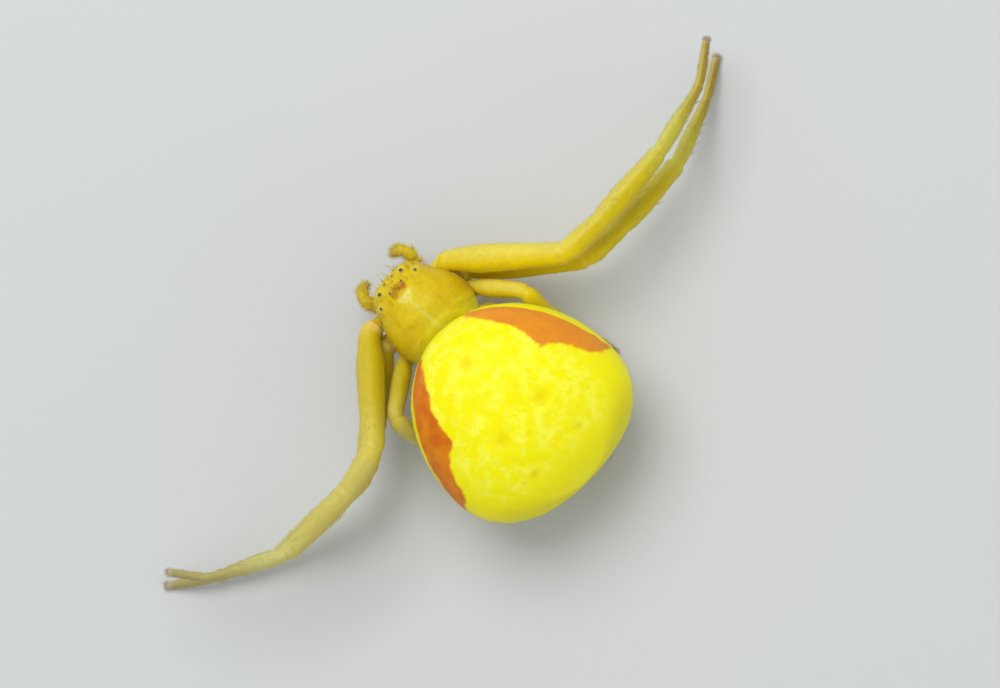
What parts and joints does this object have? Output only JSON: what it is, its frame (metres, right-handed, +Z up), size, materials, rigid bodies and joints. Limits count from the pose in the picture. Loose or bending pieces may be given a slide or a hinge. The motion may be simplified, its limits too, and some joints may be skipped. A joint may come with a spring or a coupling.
{
  "type": "crab spider",
  "caption": "female crab spider, egg-shaped hind-body, two long front leg pairs spread sideways, short rear legs tucked in, standing as a still life-size model",
  "frame": {"origin": "under the middle of the whole figure, on the surface that its feet stand on", "axes": "+X to the spider's left, -Y the way its head faces, +Z up"},
  "size_m": [0.0224, 0.009, 0.0052],
  "materials": {
    "carapace_shell": "smooth amber-yellow shell with a soft sheen and sparse short hairs",
    "leg_shell": "yellow, slightly translucent shell with a soft sheen, finely haired",
    "leg_tip": "paler straw yellow, slightly translucent, finely haired",
    "abdomen_skin": "bright lemon yellow, soft and finely mottled, an orange-red band each side",
    "eye": "polished, near black",
    "chelicera": "smooth brownish amber with a soft sheen"
  },
  "bodies": {
    "root": {"carapace": "carapace_shell", "sternum": "carapace_shell", "abdomen": "abdomen_skin", "spinnerets": "chelicera", "pedicel": "leg_shell", "eye_front_middle_left": "eye", "eye_front_middle_right": "eye", "eye_front_side_left": "eye", "eye_front_side_right": "eye", "eye_rear_middle_left": "eye", "eye_rear_middle_right": "eye", "eye_rear_side_left": "eye", "eye_rear_side_right": "eye", "chelicera_left": "chelicera", "palp_left": "leg_shell", "leg1_left_coxa": "leg_shell", "leg1_left_femur": "leg_shell", "leg1_left_tibia": "leg_shell", "leg1_left_tarsus": "leg_tip", "leg2_left_coxa": "leg_shell", "leg2_left_femur": "leg_shell", "leg2_left_tibia": "leg_shell", "leg2_left_tarsus": "leg_tip", "leg3_left_coxa": "leg_shell", "leg3_left_femur": "leg_shell", "leg3_left_tibia": "leg_shell", "leg3_left_tarsus": "leg_tip", "leg4_left_coxa": "leg_shell", "leg4_left_femur": "leg_shell", "leg4_left_tibia": "leg_shell", "leg4_left_tarsus": "leg_tip", "chelicera_right": "chelicera", "palp_right": "leg_shell", "leg1_right_coxa": "leg_shell", "leg1_right_femur": "leg_shell", "leg1_right_tibia": "leg_shell", "leg1_right_tarsus": "leg_tip", "leg2_right_coxa": "leg_shell", "leg2_right_femur": "leg_shell", "leg2_right_tibia": "leg_shell", "leg2_right_tarsus": "leg_tip", "leg3_right_coxa": "leg_shell", "leg3_right_femur": "leg_shell", "leg3_right_tibia": "leg_shell", "leg3_right_tarsus": "leg_tip", "leg4_right_coxa": "leg_shell", "leg4_right_femur": "leg_shell", "leg4_right_tibia": "leg_shell", "leg4_right_tarsus": "leg_tip"}
  },
  "joints": []
}
